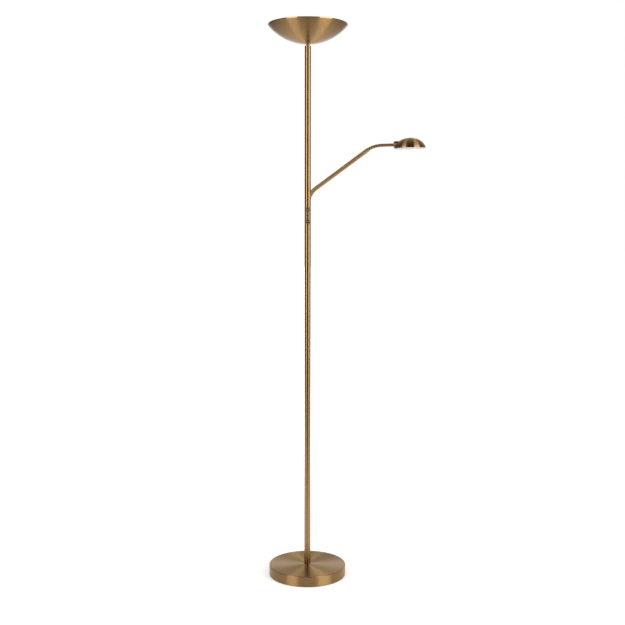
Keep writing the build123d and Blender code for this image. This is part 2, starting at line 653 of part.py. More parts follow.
def ball_edges(centre):
    """Outline of a ball stud from its shoulder to its bore, drawn as (radius, height)."""
    shoulder = (math.sqrt(BALL_RADIUS**2 - BALL_SHOULDER**2), centre - BALL_SHOULDER)
    nose = (math.sqrt(BALL_RADIUS**2 - BALL_NOSE**2), centre + BALL_NOSE)
    middle = (BALL_RADIUS, centre)
    return [
        ThreePointArc(shoulder, middle, nose),
        Line(nose, (NECK_BORE / 2, centre + BALL_NOSE)),
    ], shoulder


def socket_hollow():
    """Hollow that takes a ball whose centre is at the origin."""
    radius = BALL_RADIUS + BALL_GAP
    reach = 2 * SOCKET_LIP
    low = -reach
    foot = (math.sqrt(radius**2 - reach**2), low)
    top = (math.sqrt(radius**2 - SOCKET_FLOOR**2), SOCKET_FLOOR)
    return turned(
        Line((0, low), foot),
        ThreePointArc(foot, (radius, 0), top),
        Line(top, (0, SOCKET_FLOOR)),
        Line((0, SOCKET_FLOOR), (0, low)),
    )


def rib_points():
    """Outline of a link's ribs from its lip to its shoulder, as (radius, height)."""
    groove = NECK_RADIUS - GROOVE_DEPTH
    pitch = NECK_PITCH / RIBS_PER_LINK
    shoulder = NECK_PITCH - BALL_SHOULDER
    points = []
    for i in range(RIBS_PER_LINK):
        low = -SOCKET_LIP + i * pitch
        high = low + RIB_WIDTH if i < RIBS_PER_LINK - 1 else shoulder
        points.append((groove, low))
        points.append((NECK_RADIUS, low + RIB_CHAMFER))
        points.append((NECK_RADIUS, high - RIB_CHAMFER))
        points.append((groove, high))
    return points


def neck_link():
    """One link, with its socket's centre at the origin and its ball along +Z."""
    ball, shoulder = ball_edges(NECK_PITCH)
    ribs = rib_points()
    bore = NECK_BORE / 2
    link = turned(
        Polyline((bore, -SOCKET_LIP), *ribs, shoulder),
        *ball,
        Line((bore, NECK_PITCH + BALL_NOSE), (bore, -SOCKET_LIP)),
    )
    return link - socket_hollow()


def arm_ferrule():
    """Plug in the end of the arm tube, with the first ball of the neck."""
    centre = FERRULE_FLANGE + BALL_SHOULDER
    ball, shoulder = ball_edges(centre)
    bore = NECK_BORE / 2
    plug = ARM_INNER_RADIUS - SEAT_GAP
    edge = ARM_RADIUS - RIB_CHAMFER
    ferrule = turned(
        Polyline(
            (bore, -FERRULE_PLUG_LENGTH),
            (plug, -FERRULE_PLUG_LENGTH),
            (plug, 0),
            (ARM_RADIUS, 0),
            (ARM_RADIUS, FERRULE_FLANGE - RIB_CHAMFER),
            (edge, FERRULE_FLANGE),
            shoulder,
        ),
        *ball,
        Line((bore, centre + BALL_NOSE), (bore, -FERRULE_PLUG_LENGTH)),
    )
    direction = Vector(math.cos(ARM_DIRECTION), 0, math.sin(ARM_DIRECTION))
    return along(ARM_END, direction) * ferrule


# ---------------------------------------------------------------- reading head
# Drawn level, from the last ball's centre, with +X outward and the rim down.
HEAD_RIM = HEAD_CROWN - HEAD_DEPTH
HEAD_BAND_TOP = HEAD_RIM + HEAD_LIP


def head_frame():
    """Where the reading head's own frame lies on the lamp."""
    point, direction = station_frames()[-1]
    return Plane(origin=point, x_dir=direction, z_dir=Vector(-direction.Z, 0, direction.X)).location


def dome_arcs(inset):
    """Crown and shoulder arcs of the dome's skin, drawn in by an inset, down to the band."""
    lean = math.asin(HEAD_CROWN_HALF_WIDTH / HEAD_CROWN_RADIUS)
    normal = (math.sin(lean), math.cos(lean))
    crown_centre = HEAD_CROWN - HEAD_CROWN_RADIUS
    join = (HEAD_CROWN_RADIUS * normal[0], crown_centre + HEAD_CROWN_RADIUS * normal[1])
    to_band = (HEAD_RADIUS - join[0], HEAD_BAND_TOP - join[1])
    fall = to_band[0] * normal[0] + to_band[1] * normal[1]
    radius = -(to_band[0] ** 2 + to_band[1] ** 2) / (2 * fall)
    centre = (join[0] - radius * normal[0], join[1] - radius * normal[1])
    band_angle = math.degrees(math.acos((HEAD_RADIUS - inset - centre[0]) / (radius - inset)))
    join_angle = 90 - math.degrees(lean)
    crown = CenterArc((0, crown_centre), HEAD_CROWN_RADIUS - inset, 90, -math.degrees(lean))
    shoulder = CenterArc(centre, radius - inset, join_angle, band_angle - join_angle)
    return crown, shoulder


def dome_solid(inset, foot):
    """Everything inside the dome's skin, down to a height."""
    crown, shoulder = dome_arcs(inset)
    apex = crown @ 0
    corner = shoulder @ 1
    return Pos(HEAD_CENTRE, 0, 0) * turned(
        Line((0, foot), (0, apex.Y)),
        crown,
        shoulder,
        Polyline((corner.X, corner.Y), (corner.X, foot), (0, foot)),
    )


def head_shade():
    """Spun dome with an upright band, a hemmed edge and a hole for the neck's stub."""
    shade = dome_solid(0, HEAD_RIM) - dome_solid(HEAD_WALL, HEAD_RIM)
    inner = HEAD_RADIUS - HEAD_WALL
    hem_radius = HEAD_RADIUS + HEAD_HEM_STEP
    bevel = HEAD_HEM_STEP / 2
    hem_top = HEAD_RIM + HEAD_HEM_HEIGHT
    shade += Pos(HEAD_CENTRE, 0, 0) * turned(
        Polyline(
            (inner, HEAD_RIM),
            (hem_radius - bevel, HEAD_RIM),
            (hem_radius, HEAD_RIM + bevel),
            (hem_radius, hem_top - bevel),
            (hem_radius - bevel, hem_top),
            (inner, hem_top),
            close=True,
        )
    )
    return shade - along_head(HEAD_STUB_DIAMETER / 2 + SEAT_GAP, 0, HEAD_STUB_END)


def along_head(radius, start, end):
    """Rod along the neck's axis, between two distances from the last ball."""
    return Plane(origin=(start, 0, 0), z_dir=(1, 0, 0)).location * disc(radius, 0, end - start)


def head_neck():
    """Round neck, saddled against the dome, with the last socket and a stub to the heat sink."""
    foot = HEAD_RIM - HEAD_NECK_DIAMETER
    neck = along_head(HEAD_NECK_DIAMETER / 2, -SOCKET_LIP, HEAD_CENTRE)
    neck = fillet(neck.edges().group_by(Axis.X)[0], HEAD_NECK_ROUND)
    neck -= dome_solid(-HEAD_NECK_SEAT, foot)
    hem_radius = HEAD_RADIUS + HEAD_HEM_STEP + HEAD_NECK_SEAT
    neck -= Pos(HEAD_CENTRE, 0, 0) * disc(hem_radius, foot, HEAD_RIM + HEAD_HEM_HEIGHT + HEAD_NECK_SEAT)
    neck += along_head(HEAD_STUB_DIAMETER / 2, SOCKET_FLOOR + HEAD_WALL, HEAD_STUB_END)
    neck -= along_head(HEAD_STUB_BORE / 2, SOCKET_FLOOR + HEAD_WALL, HEAD_STUB_END)
    neck -= along_head(NECK_BORE / 2, 0, HEAD_STUB_END)
    return neck - Rot(0, 90, 0) * socket_hollow()


def radial_fin(inner, outer, low, inner_high, outer_high, thickness):
    """Upright plate that runs out from an axis, with a sloping edge."""
    corners = ((inner, low), (outer, low), (outer, outer_high), (inner, inner_high))
    return extrude(Plane.XZ * make_face(Polyline(*corners, close=True)), thickness / 2, both=True)


def head_heat_sink():
    """Finned plate under the dome, with a boss that takes the neck's stub."""
    foot = HEAD_RIM + HEAD_SINK_LIFT
    top = foot + HEAD_SINK_PLATE
    core = HEAD_SINK_CORE_DIAMETER / 2
    sink = disc(HEAD_SINK_RADIUS, foot, top) + disc(core, top, top + HEAD_SINK_CORE_HEIGHT)
    fin = radial_fin(
        core - FIN_ROOT,
        HEAD_SINK_RADIUS - FIN_ROOT,
        top,
        top + HEAD_SINK_CORE_HEIGHT,
        top + HEAD_FIN_TIP_HEIGHT,
        HEAD_FIN_THICKNESS,
    )
    for i in range(HEAD_FINS):
        sink += Rot(0, 0, (i + 0.5) * 360 / HEAD_FINS) * fin
    for place in around(SCREWS, HEAD_BOARD_RADIUS - SCREW_CIRCLE_INSET, foot):
        sink -= place * disc(SCREW_DIAMETER / 2 + SEAT_GAP, 0, HEAD_SINK_PLATE)
    boss_end = HEAD_SINK_BOSS_START + HEAD_SINK_BOSS_LENGTH
    sink = Pos(HEAD_CENTRE, 0, 0) * sink
    sink += along_head(HEAD_SINK_BOSS_DIAMETER / 2, HEAD_SINK_BOSS_START, boss_end)
    sink -= along_head(HEAD_STUB_DIAMETER / 2 + SEAT_GAP, 0, HEAD_STUB_END)
    return sink - along_head(HEAD_STUB_BORE / 2, HEAD_STUB_END, boss_end + HEAD_SINK_WIRE_SLOT)


def led_board(radius, low, rings, hole=0.0):
    """Round board with its light-emitting packages on top, in rings."""
    board = disc(radius, low, low + BOARD_THICKNESS, hole)
    for ring_radius, count in rings:
        for place in around(count, ring_radius, low + BOARD_THICKNESS):
            board += place * block(LED_SIZE, (0, 0), 0)
    return board


def head_led_board():
    """Light board under the head's heat sink, facing down."""
    board = led_board(HEAD_BOARD_RADIUS, 0, ((HEAD_LED_CIRCLE, HEAD_LEDS),))
    for place in around(SCREWS, HEAD_BOARD_RADIUS - SCREW_CIRCLE_INSET):
        board -= place * disc(SCREW_DIAMETER / 2 + SEAT_GAP, 0, BOARD_THICKNESS)
    return Pos(HEAD_CENTRE, 0, HEAD_RIM + HEAD_SINK_LIFT) * Rot(180, 0, 0) * board


def head_screws():
    """Screws that hold the board to the heat sink, heads down."""
    screw = pan_screw(SCREW_DIAMETER, BOARD_THICKNESS + HEAD_SINK_PLATE, SCREW_HEAD_DIAMETER, SCREW_HEAD_HEIGHT)
    foot = HEAD_RIM + HEAD_SINK_LIFT - BOARD_THICKNESS
    flip = Pos(HEAD_CENTRE, 0, foot) * Rot(180, 0, 0)
    return group([flip * place * screw for place in around(SCREWS, HEAD_BOARD_RADIUS - SCREW_CIRCLE_INSET)])


def head_ring():
    """Ring inside the band, with a lip that the diffuser lies on."""
    outer = HEAD_RADIUS - HEAD_WALL - SEAT_GAP
    ring = disc(outer, HEAD_RIM, HEAD_RIM + HEAD_RING_HEIGHT, outer - HEAD_RING_WALL)
    lip_top = HEAD_RIM + HEAD_RING_LIP_THICKNESS
    ring += disc(outer, HEAD_RIM, lip_top, outer - HEAD_RING_WALL - HEAD_RING_LIP)
    return Pos(HEAD_CENTRE, 0, 0) * ring


def head_diffuser():
    """Opal lens with a slight bulge below its seat in the ring."""
    low = HEAD_RIM + HEAD_RING_LIP_THICKNESS
    top = low + HEAD_DIFFUSER_THICKNESS
    radius = HEAD_RADIUS - HEAD_WALL - HEAD_RING_WALL - 2 * SEAT_GAP
    aperture = radius - HEAD_RING_LIP - SEAT_GAP
    sphere = (aperture**2 + HEAD_DIFFUSER_BULGE**2) / (2 * HEAD_DIFFUSER_BULGE)
    centre = low - HEAD_DIFFUSER_BULGE + sphere
    bulge = CenterArc((0, centre), sphere, -90, math.degrees(math.asin(aperture / sphere)))
    return Pos(HEAD_CENTRE, 0, 0) * turned(
        bulge,
        Polyline(bulge @ 1, (radius, low), (radius, top), (0, top), bulge @ 0),
    )


def head_wire():
    """Wire from the last link to the light board."""
    return wire(((SOCKET_FLOOR + HEAD_WALL, 0, 0), (HEAD_WIRE_END, 0, 0)), LAMP_WIRE_DIAMETER, 0)


# ---------------------------------------------------------------- uplighter
def uplight_nipple():
    """Hollow threaded stud between the pole and the bowl."""
    return disc(
        UPLIGHT_NIPPLE_DIAMETER / 2, POLE_TOP - UPLIGHT_NIPPLE_REACH, UPLIGHT_NIPPLE_TOP, UPLIGHT_NIPPLE_BORE / 2
    )


def neck_spacer():
    """Short sleeve that holds the bowl clear of the pole."""
    return disc(NECK_SPACER_DIAMETER / 2, POLE_TOP, BOWL_BOTTOM, UPLIGHT_NIPPLE_DIAMETER / 2 + SEAT_GAP)


def bowl_skin(radius, inner_lip):
    """Half outline of the bowl's skin from the axis to the foot of its lip."""
    lip_angle = math.degrees(math.asin(inner_lip / radius))
    return CenterArc((0, BOWL_SPHERE_CENTRE), radius, -90, lip_angle)


def uplight_bowl():
    """Spun bowl: a shallow spherical cap with an upright hemmed lip."""
    inside = BOWL_RADIUS - BOWL_LIP_THICKNESS
    outer = bowl_skin(BOWL_SPHERE_RADIUS, BOWL_RADIUS)
    inner = bowl_skin(BOWL_INNER_SPHERE, inside)
    bowl = turned(
        outer,
        Polyline(
            outer @ 1,
            (BOWL_RADIUS, TOTAL_HEIGHT - BOWL_LIP_BEVEL),
            (BOWL_RADIUS - BOWL_LIP_BEVEL, TOTAL_HEIGHT),
            (inside + BOWL_LIP_BEVEL, TOTAL_HEIGHT),
            (inside, TOTAL_HEIGHT - BOWL_LIP_BEVEL),
            inner @ 1,
        ),
        inner,
        Line(inner @ 0, outer @ 0),
    )
    return bowl - disc(UPLIGHT_NIPPLE_DIAMETER / 2 + SEAT_GAP, BOWL_BOTTOM, SINK_PLATE_HEIGHT)


def bowl_nut():
    """Flanged nut that holds the bowl down, flange on the bowl's floor."""
    nut = flanged_nut(
        BOWL_NUT_FLATS, BOWL_NUT_HEIGHT, BOWL_NUT_FLANGE_DIAMETER, UPLIGHT_NIPPLE_DIAMETER / 2 + SEAT_GAP
    )
    return Pos(0, 0, SINK_HUB_FOOT) * Rot(180, 0, 0) * nut


def uplight_heat_sink():
    """Cast plate with a hub on the nipple and radial fins above the bowl's floor."""
    hub_radius = SINK_HUB_DIAMETER / 2
    sink = disc(SINK_RADIUS, SINK_PLATE_HEIGHT, SINK_PLATE_TOP)
    sink += disc(hub_radius, SINK_HUB_FOOT, SINK_PLATE_HEIGHT)
    fin = radial_fin(
        hub_radius - FIN_ROOT,
        SINK_FIN_REACH,
        SINK_PLATE_HEIGHT,
        SINK_HUB_FOOT + FIN_ROOT,
        SINK_PLATE_HEIGHT - SINK_FIN_TIP_HEIGHT,
        SINK_FIN_THICKNESS,
    )
    for i in range(SINK_FINS):
        sink += Rot(0, 0, i * 360 / SINK_FINS) * fin
    for place in around(SCREWS, SINK_RADIUS - SCREW_CIRCLE_INSET, SINK_PLATE_HEIGHT, 180 / SINK_FINS):
        sink -= place * disc(SCREW_DIAMETER / 2 + SEAT_GAP, 0, SINK_PLATE_THICKNESS)
    return sink - disc(UPLIGHT_NIPPLE_DIAMETER / 2 + SEAT_GAP, SINK_HUB_FOOT, SINK_PLATE_TOP)


def uplight_led_board():
    """Light board on the heat sink, facing up."""
    rings = [(share * UPLIGHT_BOARD_RADIUS, count) for share, count in UPLIGHT_LED_RINGS]
    return led_board(UPLIGHT_BOARD_RADIUS, SINK_PLATE_TOP, rings, UPLIGHT_BOARD_HOLE_RADIUS)


def uplight_reflector():
    """White sheet cone from the heat sink out to a ledge against the bowl."""
    flange = UPLIGHT_BOARD_RADIUS + COVER_GAP
    foot = SINK_PLATE_TOP
    sheet = REFLECTOR_SHEET
    ledge_low = REFLECTOR_TOP - sheet
    ledge = REFLECTOR_LEDGE_RADIUS
    edge = REFLECTOR_EDGE_RADIUS
    cone = turned(
        Polyline(
            (flange, foot),
            (SINK_RADIUS, foot),
            (ledge, ledge_low),
            (edge, ledge_low),
            (edge, REFLECTOR_TOP),
            (ledge - sheet / 2, REFLECTOR_TOP),
            (SINK_RADIUS - sheet / 2, foot + sheet),
            (flange, foot + sheet),
            close=True,
        )
    )
    for place in around(SCREWS, SINK_RADIUS - SCREW_CIRCLE_INSET, foot, 180 / SINK_FINS):
        cone -= place * disc(SCREW_DIAMETER / 2 + SEAT_GAP, 0, sheet)
    return cone


def uplight_screws():
    """Screws that hold the reflector to the heat sink."""
    length = REFLECTOR_SHEET + SINK_PLATE_THICKNESS
    screw = pan_screw(SCREW_DIAMETER, length, SCREW_HEAD_DIAMETER, SCREW_HEAD_HEIGHT)
    height = SINK_PLATE_TOP + REFLECTOR_SHEET
    places = around(SCREWS, SINK_RADIUS - SCREW_CIRCLE_INSET, height, 180 / SINK_FINS)
    return group([place * screw for place in places])


def uplight_diffuser():
    """Opal disc on the reflector's ledge."""
    return disc(DIFFUSER_RADIUS, REFLECTOR_TOP, REFLECTOR_TOP + DIFFUSER_THICKNESS)


def uplight_diffuser_ring():
    """Trim ring round the diffuser, with a lip over its edge."""
    inner = DIFFUSER_RADIUS + SEAT_GAP
    outer = inner + DIFFUSER_RING_WALL
    lip_low = REFLECTOR_TOP + DIFFUSER_THICKNESS
    ring = disc(outer, REFLECTOR_TOP, lip_low + REFLECTOR_SHEET, inner)
    return ring + disc(outer, lip_low, lip_low + REFLECTOR_SHEET, DIFFUSER_RADIUS - DIFFUSER_RING_LIP)


# ---------------------------------------------------------------- wires in the pole and arm
def supply_wire():
    """Low-voltage wire from the driver, through the base nipple, up to the dimmer board."""
    start = (DRIVER_CENTRE[0] + DRIVER_SIZE[0] / 2, 0, SUPPLY_WIRE_HEIGHT)
    top = READING_DIMMER_HEIGHT - DIMMER_CAN[2] / 2 - WIRE_END_GAP
    points = (start, (0, 0, SUPPLY_WIRE_HEIGHT), (0, 0, top))
    return wire(points, SUPPLY_WIRE_DIAMETER, SUPPLY_WIRE_BEND)


def uplight_wire():
    """Wire from the dimmer board past the arm and up to the uplighter's board."""
    low, high = (ARM_BRANCH_HEIGHT + rise for rise in UPLIGHT_WIRE_SHIFT)
    points = (
        (UPLIGHT_WIRE_OFFSET, 0, DIMMER_WIRE_FOOT),
        (UPLIGHT_WIRE_OFFSET, 0, low),
        (0, 0, high),
        (0, 0, SINK_PLATE_TOP),
    )
    return wire(points, LAMP_WIRE_DIAMETER, UPLIGHT_WIRE_BEND)


def reading_wire():
    """Wire from the dimmer board through the arm to its ferrule."""
    direction = Vector(math.cos(ARM_DIRECTION), 0, math.sin(ARM_DIRECTION))
    start = Vector(ARM_OFFSET, 0, DIMMER_WIRE_FOOT)
    end = ARM_END - direction * (FERRULE_PLUG_LENGTH - WIRE_END_GAP)
    return wire((tuple(start), tuple(ARM_CORNER), tuple(end)), LAMP_WIRE_DIAMETER, ARM_BEND_RADIUS)


# ---------------------------------------------------------------- all sub-parts
def lamp_parts():
    """Every sub-part by its name, each in its place on the lamp."""
    head = head_frame()
    dimmers = (READING_DIMMER_HEIGHT, UPLIGHT_DIMMER_HEIGHT)
    parts = {
        "base_shell": base_shell(),
        "base_weight": base_weight(),
        "bottom_plate": bottom_plate(),
        "plate_screws": plate_screws(),
        "floor_pad": floor_pad(),
        "base_nipple": base_nipple(),
        "base_nut": base_nut(),
        "inlet_bush": inlet_bush(),
        "led_driver": led_driver(),
        "terminal_block": terminal_block(),
        "mains_link_wire": mains_link_wire(),
        "pole_lower": pole_tube(BASE_TOP, POLE_SEAM_HEIGHT),
        "pole_middle": pole_tube(POLE_SEAM_HEIGHT, CONTROL_BOTTOM),
        "pole_upper": pole_upper(),
        "pole_foot_insert": pole_foot_insert(),
        "pole_coupling": pole_coupling(),
        "pole_top_insert": pole_top_insert(),
        "control_housing": control_housing(),
        "dimmer_board": dimmer_board(),
        "dimmers": group([dimmer(height) for height in dimmers]),
        "dimmer_collars": group([dimmer_collar(height) for height in dimmers]),
        "dimmer_nuts": group([dimmer_nut(height) for height in dimmers]),
        "reading_knob_shaft": knob_shaft(READING_DIMMER_HEIGHT),
        "uplight_knob_shaft": knob_shaft(UPLIGHT_DIMMER_HEIGHT),
        "reading_knob": knob(READING_DIMMER_HEIGHT),
        "uplight_knob": knob(UPLIGHT_DIMMER_HEIGHT),
        "arm_socket": arm_socket(),
        "arm_tube": arm_tube(),
        "arm_ferrule": arm_ferrule(),
        "head_neck": head * head_neck(),
        "head_shade": head * head_shade(),
        "head_heat_sink": head * head_heat_sink(),
        "head_led_board": head * head_led_board(),
        "head_screws": head * head_screws(),
        "head_ring": head * head_ring(),
        "head_diffuser": head * head_diffuser(),
        "head_wire": head * head_wire(),
        "uplight_nipple": uplight_nipple(),
        "neck_spacer": neck_spacer(),
        "uplight_bowl": uplight_bowl(),
        "bowl_nut": bowl_nut(),
        "uplight_heat_sink": uplight_heat_sink(),
        "uplight_led_board": uplight_led_board(),
        "uplight_reflector": uplight_reflector(),
        "uplight_screws": uplight_screws(),
        "uplight_diffuser": uplight_diffuser(),
        "uplight_diffuser_ring": uplight_diffuser_ring(),
        "supply_wire": supply_wire(),
        "uplight_wire": uplight_wire(),
        "reading_wire": reading_wire(),
    }
    link = neck_link()
    for number, (point, direction) in enumerate(station_frames()[:-1], start=1):
        parts[f"neck_link_{number}"] = along(point, direction) * link
    return parts


os.makedirs("parts", exist_ok=True)
for name, shape in lamp_parts().items():
    export_step(shape, f"parts/{name}.step")
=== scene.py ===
"""Looks of the uplighter floor lamp with a reading light.

Metres, +Z up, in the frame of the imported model. +X points along the reading arm and -Y is the front.
"""

import json
import math

import bmesh
import bpy
from mathutils import Matrix, Vector

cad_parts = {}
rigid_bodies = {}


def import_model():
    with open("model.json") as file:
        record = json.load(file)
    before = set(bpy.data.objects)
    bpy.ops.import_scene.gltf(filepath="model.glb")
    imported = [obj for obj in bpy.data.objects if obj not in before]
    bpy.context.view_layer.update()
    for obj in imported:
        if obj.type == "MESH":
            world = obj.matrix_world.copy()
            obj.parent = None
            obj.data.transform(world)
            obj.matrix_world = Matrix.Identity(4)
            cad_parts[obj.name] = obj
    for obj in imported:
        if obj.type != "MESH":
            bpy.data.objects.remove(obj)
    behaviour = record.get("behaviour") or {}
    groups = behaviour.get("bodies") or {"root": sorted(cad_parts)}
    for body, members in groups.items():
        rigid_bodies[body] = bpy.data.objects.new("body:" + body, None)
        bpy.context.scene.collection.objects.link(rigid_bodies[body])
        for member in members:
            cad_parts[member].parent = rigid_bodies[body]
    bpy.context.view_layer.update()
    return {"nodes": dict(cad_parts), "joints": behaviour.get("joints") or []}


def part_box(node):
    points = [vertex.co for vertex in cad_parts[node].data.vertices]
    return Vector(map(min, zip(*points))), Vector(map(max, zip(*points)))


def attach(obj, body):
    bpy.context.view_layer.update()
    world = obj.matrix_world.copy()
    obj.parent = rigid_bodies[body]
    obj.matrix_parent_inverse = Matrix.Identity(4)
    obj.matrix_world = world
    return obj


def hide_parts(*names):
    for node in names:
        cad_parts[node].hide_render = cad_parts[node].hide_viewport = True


# ---------------------------------------------------------------- camera of the photograph
PHOTO_PIXELS = 625
FOCAL_PIXELS = 987.1
SENSOR_WIDTH = 36.0         # millimetres, as the camera counts them
CAMERA_PLACE = (0.016, -3.2111, 1.1939)
CAMERA_PITCH = math.radians(5.59)
CAMERA_ROLL = math.radians(0.09)

# ---------------------------------------------------------------- light
ROOM_LEVEL = 0.60           # what the surroundings send to surfaces that aren't glossy
BACKDROP_LEVEL = 1.0        # white
STUDIO_LEVELS = (           # round the lamp as metal shows it: turn from the front, 0 to 1, and level
    (0.00, 0.04),
    (0.25, 0.06),
    (0.38, 0.20),
    (0.45, 1.00),
    (0.57, 1.00),
    (0.68, 0.35),
    (0.78, 0.08),
    (1.00, 0.04),
)
NEW_STOP = 0.5              # where a stop of these levels is made, before it moves to its turn
SOFTBOX_DISTANCE = 2.8
SOFTBOX_HEIGHT = 2.1
SOFTBOX_TALL = 3.6
LEFT_SOFTBOX = {"azimuth": -46, "width": 1.6, "level": 3.1}
RIGHT_SOFTBOX = {"azimuth": 53, "width": 2.0, "level": 3.5}

# ---------------------------------------------------------------- floor
FLOOR_SIZE = 40.0
PAPER_COLOUR = (0.80, 0.80, 0.80)
PAPER_ROUGHNESS = 0.9
# Painted shade: the floor of the unlit studio round the paper, as reflections and bounced light see it.
UNLIT_FLOOR_PAINTED_SHADE = (0.06, 0.06, 0.06)
PAPER_FRONT = (-1.5, -0.6)  # y over which the white paper starts
PAPER_SIDE = (1.0, 3.0)     # distance to either side over which it ends
FLOOR_LIFT = 0.36           # added where the floor is seen, so that it reads as white
FAR_LIFT = 1.0
NEAR_RADIUS = 0.5
FAR_RADIUS = 2.0

# ---------------------------------------------------------------- brass, linear colours, with painted light on the arm and painted shade on the neck
BRASS = (0.350, 0.215, 0.090)
BRASS_SHADE = (0.330, 0.198, 0.080)
# Lighter brass of the arm and its ferrule: painted light, standing in for the sheen along the arm.
ARM_BRASS_PAINTED_LIGHT = (0.40, 0.250, 0.110)
# Darker brass of the gooseneck: the same brass, darkened with painted shade of its fine ribs.
NECK_BRASS_PAINTED_SHADE = (0.235, 0.149, 0.074)
NECK_BRASS_PAINTED_SHADE_DARK = (0.195, 0.117, 0.055)
SATIN = (0.36, 0.39)        # lowest and highest roughness of the brushing
DOME_SATIN = (0.34, 0.37)
POLE_SATIN = (0.20, 0.22)
ARM_SATIN = (0.47, 0.51)
POLISH = 0.26               # of the satin's roughness
POLISH_BLEND = 0.0005
RIM_BAND = 0.0032           # height of the bowl's upright edge
BRUSH_SPACING = 0.0006
POLE_SPACING = 0.0005
KNOB_SPACING = 0.0003
LINE_DEPTH = 0.0000008      # of the brushing
RING_DRIFT = 6.0            # how far the rings wander round their axis, in noise units per metre
PATINA_SIZE = 0.05
BRUSH_SPREAD = 1.0          # anisotropy of turned brass
ARM_SPREAD = 0.2            # anisotropy of the arm
QUARTER_TURN = 0.25         # lays the spread across the brushed lines
NOISE_LOW = 0.35            # the middle range of a noise
NOISE_HIGH = 0.65
LINE_DETAIL = 2.0
CLOUD_DETAIL = 3.0

# ---------------------------------------------------------------- arm and neck
ARM_SLOPE = math.radians(36.5)
NECK_SLOPE = math.radians(1.5)
NECK_LINKS = 9
NECK_RADIUS = 0.005
NECK_BORE = 0.0016          # radius
RIB_PITCH = 0.00181
RIB_DEPTH = 0.00035
RIB_RINGS = 6               # rings of points along each rib
LEAST_STEPS = 2             # between the rings of a ribbed length
ROUND_POINTS = 36
CREASE = math.radians(45)
JOINT_GAP = 0.0007          # from a joint's centre to the ribs on either side of it
BALL_RADIUS = 0.00475
BALL_REACH = 0.0022         # past the joint's centre
BALL_STEPS = 8
BORE_STEPS = 4
SOCKET_CLEARANCE = 0.00005
SOCKET_DEPTH = 0.0033       # past the joint's centre
FERRULE_FACE = 0.0023       # from the first joint's centre back to the ferrule's face
HEAD_GAP = 0.0019           # from the last joint's centre back to the last rib
HEAD_BALL_RADIUS = 0.0034
HEAD_BALL_REACH = 0.0003

